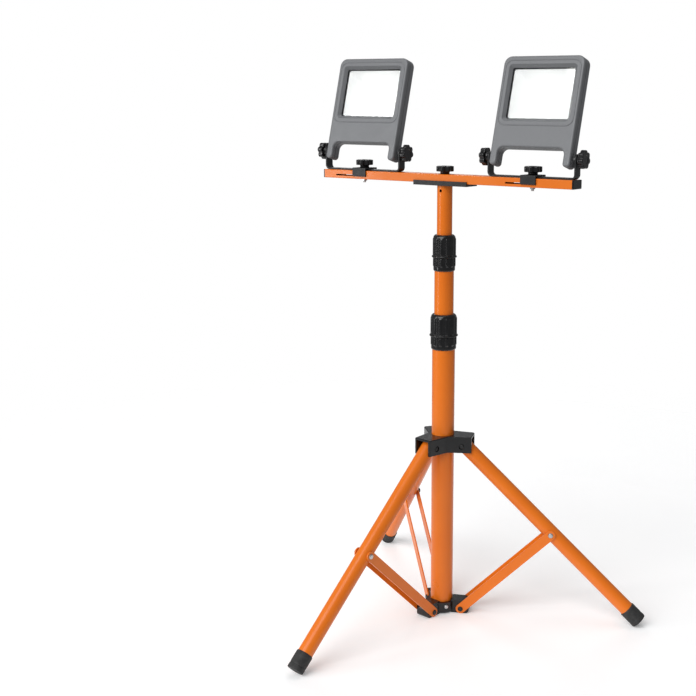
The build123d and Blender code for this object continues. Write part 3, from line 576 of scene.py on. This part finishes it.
def brace_bolts():
    """Each bolt's domed head and shank in zinc, and its closed cap nut in black.

    Their sizes are read off the node: how far each vertex is along the bolt, and how far
    beyond its axis.
    """
    for number in (1, 2, 3):
        node, body = f"brace_bolt_{number}", f"leg_{number}"
        hinge = JOINTS[f"leg_{number}_hinge"]
        knee, axis = Vector(hinge["pos_m"]), Vector(hinge["axis"])
        points = [NODES[node].matrix_world @ v.co - knee for v in NODES[node].data.vertices]
        along = [point.dot(axis) for point in points]
        beyond = [(point - axis * reach).length for point, reach in zip(points, along)]
        ends = {side: max(side * reach for reach in along) for side in (-1, 1)}
        nut_side = 1 if ends[1] > ends[-1] else -1
        shank = min(radius for radius in beyond if radius > 1 * MM)
        for side in (-1, 1):
            wide = [(side * reach, radius) for reach, radius in zip(along, beyond)
                    if side * reach > 0 and radius > shank + HEAD_STEP]
            seat = min(reach for reach, radius in wide)
            rim = max(radius for reach, radius in wide)
            tip = ends[side]
            turn = (axis * side).to_track_quat("Z", "Y").to_matrix().to_4x4()
            place = Matrix.Translation(knee) @ turn
            if side == nut_side:
                vertices, faces = turned(nut_profile(seat, rim, tip), BOLT_STEPS, place)
                add_piece(f"{node}_cap", vertices, faces, "black_plastic", body)
            else:
                inner = SHANK_STOP - ends[nut_side]
                profile = head_profile(inner, shank, seat, rim, tip)
                vertices, faces = turned(profile, BOLT_STEPS, place)
                add_piece(f"{node}_head", vertices, faces, "bright_steel", body, [node])


# ---- window beads ---------------------------------------------------------------------

HEAD_TILT = radians(15.5)
HEAD_FRONT = 14 * MM
WINDOW_SIZE = (119 * MM, 90 * MM)
WINDOW_RISE = 98.6 * MM  # window centre above the tilt axis
WINDOW_CORNER = 6 * MM
WINDOW_BEVEL = 5 * MM
BEAD_RADIUS = 1.1 * MM
BEAD_SUNK = 0.4 * MM
BEAD_STEPS = 12
CORNER_STEPS = 8


def window_beads():
    """A raised round bead on each front frame, just outside the bevel of its window."""
    margin = WINDOW_BEVEL + BEAD_RADIUS
    across, up = (size / 2 - WINDOW_CORNER for size in WINDOW_SIZE)
    path = []
    for quarter, (x, y) in enumerate(((1, 1), (-1, 1), (-1, -1), (1, -1))):
        for step in range(CORNER_STEPS + 1):
            angle = pi / 2 * (quarter + step / CORNER_STEPS)
            path.append((x * across, y * up, cos(angle), sin(angle)))
    for side in SIDES:
        joint = JOINTS[f"{side}_head_tilt"]
        forward = Vector((0, -cos(HEAD_TILT), sin(HEAD_TILT)))
        upward = Vector((0, sin(HEAD_TILT), cos(HEAD_TILT)))
        turn = Matrix((Vector((1, 0, 0)), upward, forward)).transposed().to_4x4()
        place = Matrix.Translation(joint["pos_m"]) @ turn
        vertices = []
        for x, y, out_x, out_y in path:
            for step in range(BEAD_STEPS):
                angle = 2 * pi * step / BEAD_STEPS
                out = WINDOW_CORNER + margin + BEAD_RADIUS * cos(angle)
                high = WINDOW_RISE + y + out * out_y
                forth = HEAD_FRONT - BEAD_SUNK + BEAD_RADIUS * sin(angle)
                vertices.append(place @ Vector((x + out * out_x, high, forth)))
        faces = []
        for row in range(len(path)):
            start, after = row * BEAD_STEPS, (row + 1) % len(path) * BEAD_STEPS
            for step in range(BEAD_STEPS):
                onward = (step + 1) % BEAD_STEPS
                faces.append((start + step, after + step, after + onward, start + onward))
        add_piece(f"{side}_window_bead", vertices, faces, "head_grey", joint["child"])


# ---- stage ----------------------------------------------------------------------------

CAMERA_PLACE = Vector((1.0644, -1.6253, 0.8631))
CAMERA_VIEW = Vector((-0.53598, 0.81841, -0.20720))
CAMERA_RIGHT = Vector((0.83563, 0.54924, 0.00784))
CAMERA_LENS = 61.44
CAMERA_SHIFT = (-0.1372, 0.0111)
CAMERA_RANGE = (0.05, 200)
LIGHT_TARGET = (0, 0, 0.5)
KEY_POWER = 2.3
KEY_ANGLE = radians(50)
KEY_DIRECTION = Vector((0.05, 0.79, -0.6))
WORLD_STRENGTH = 0.28
FLOOR_REACH = 1.8
FLOOR_LEVEL = -0.2 * MM
FLOOR_GLOW = 0.16


def make_camera():
    data = bpy.data.cameras.new("camera")
    data.lens = CAMERA_LENS
    data.shift_x, data.shift_y = CAMERA_SHIFT
    data.clip_start, data.clip_end = CAMERA_RANGE
    camera = bpy.data.objects.new("camera", data)
    bpy.context.scene.collection.objects.link(camera)
    view = CAMERA_VIEW.normalized()
    right = (CAMERA_RIGHT - view * CAMERA_RIGHT.dot(view)).normalized()
    up = right.cross(view)
    turn = Matrix((right, up, -view)).transposed().to_4x4()
    camera.matrix_world = Matrix.Translation(CAMERA_PLACE) @ turn
    bpy.context.scene.camera = camera


def soft_box(name, place, size, power):
    data = bpy.data.lights.new(name, "AREA")
    data.shape = "RECTANGLE"
    data.size, data.size_y = size
    data.energy = power
    light = bpy.data.objects.new(name, data)
    bpy.context.scene.collection.objects.link(light)
    light.location = place
    aim = Vector(LIGHT_TARGET) - Vector(place)
    light.rotation_euler = aim.to_track_quat("-Z", "Y").to_euler()


def make_lights():
    """A broad key from the front, a tall strip on the left, and soft boxes above and behind."""
    data = bpy.data.lights.new("key", "SUN")
    data.energy = KEY_POWER
    data.angle = KEY_ANGLE
    key = bpy.data.objects.new("key", data)
    bpy.context.scene.collection.objects.link(key)
    key.rotation_euler = KEY_DIRECTION.to_track_quat("-Z", "Y").to_euler()
    soft_box("strip", place=(-1.7, -1.9, 1.0), size=(0.3, 2.0), power=16)
    soft_box("top", place=(0.1, 0.2, 2.8), size=(1.8, 1.4), power=9)
    soft_box("edge", place=(-1.3, 1.5, 1.7), size=(0.7, 0.7), power=6)


def make_world():
    """White to the camera, and a softer even light on the object."""
    world = bpy.data.worlds.new("studio")
    bpy.context.scene.world = world
    world.use_nodes = True
    nodes, links = world.node_tree.nodes, world.node_tree.links
    nodes.clear()
    seen = nodes.new("ShaderNodeBackground")
    seen.inputs["Color"].default_value = (1, 1, 1, 1)
    light = nodes.new("ShaderNodeBackground")
    light.inputs["Color"].default_value = (0.97, 0.98, 1.0, 1)
    light.inputs["Strength"].default_value = WORLD_STRENGTH
    path = nodes.new("ShaderNodeLightPath")
    mix = nodes.new("ShaderNodeMixShader")
    output = nodes.new("ShaderNodeOutputWorld")
    links.new(path.outputs["Is Camera Ray"], mix.inputs["Fac"])
    links.new(light.outputs["Background"], mix.inputs[1])
    links.new(seen.outputs["Background"], mix.inputs[2])
    links.new(mix.outputs["Shader"], output.inputs["Surface"])


def make_floor():
    """A pale floor that fades into the white round it."""
    reach, level = FLOOR_REACH, FLOOR_LEVEL
    finish = Finish("pale_floor")
    finish.colour(finish.noise(0.4, 3), [(0.3, 0.93), (0.7, 0.95)])
    finish.roughness(finish.noise(0.2, 3), 0.8, 0.9)
    finish.set(specular_ior_level=0.1)
    finish.set(emission_color=(1.0, 1.0, 1.0, 1.0), emission_strength=FLOOR_GLOW)
    fade = finish.nodes.new("ShaderNodeTexGradient")
    fade.gradient_type = "SPHERICAL"
    finish.links.new(finish.stretched((1 / reach,) * 3), fade.inputs["Vector"])
    solid = finish.ramp(fade.outputs["Fac"], [(0.0, 0.0), (0.6, 1.0)])
    finish.links.new(solid, finish.shader.inputs["Alpha"])
    mesh = bpy.data.meshes.new("floor")
    corners = [(-reach, -reach, level), (reach, -reach, level), (reach, reach, level),
               (-reach, reach, level)]
    mesh.from_pydata(corners, [], [(0, 1, 2, 3)])
    mesh.materials.append(finish.material)
    floor = bpy.data.objects.new("floor", mesh)
    bpy.context.scene.collection.objects.link(floor)


# ---- build ----------------------------------------------------------------------------

finish_cad_nodes()
star_knobs()
twist_lock("lower", "base", "lower_lock_nut", "lower_tube", "middle_tube")
twist_lock("upper", "middle_mast", "upper_lock_nut", "middle_tube", "upper_tube")
rubber_feet()
brace_bolts()
window_beads()
make_camera()
make_lights()
make_world()
make_floor()
bpy.context.scene.view_settings.view_transform = "Standard"
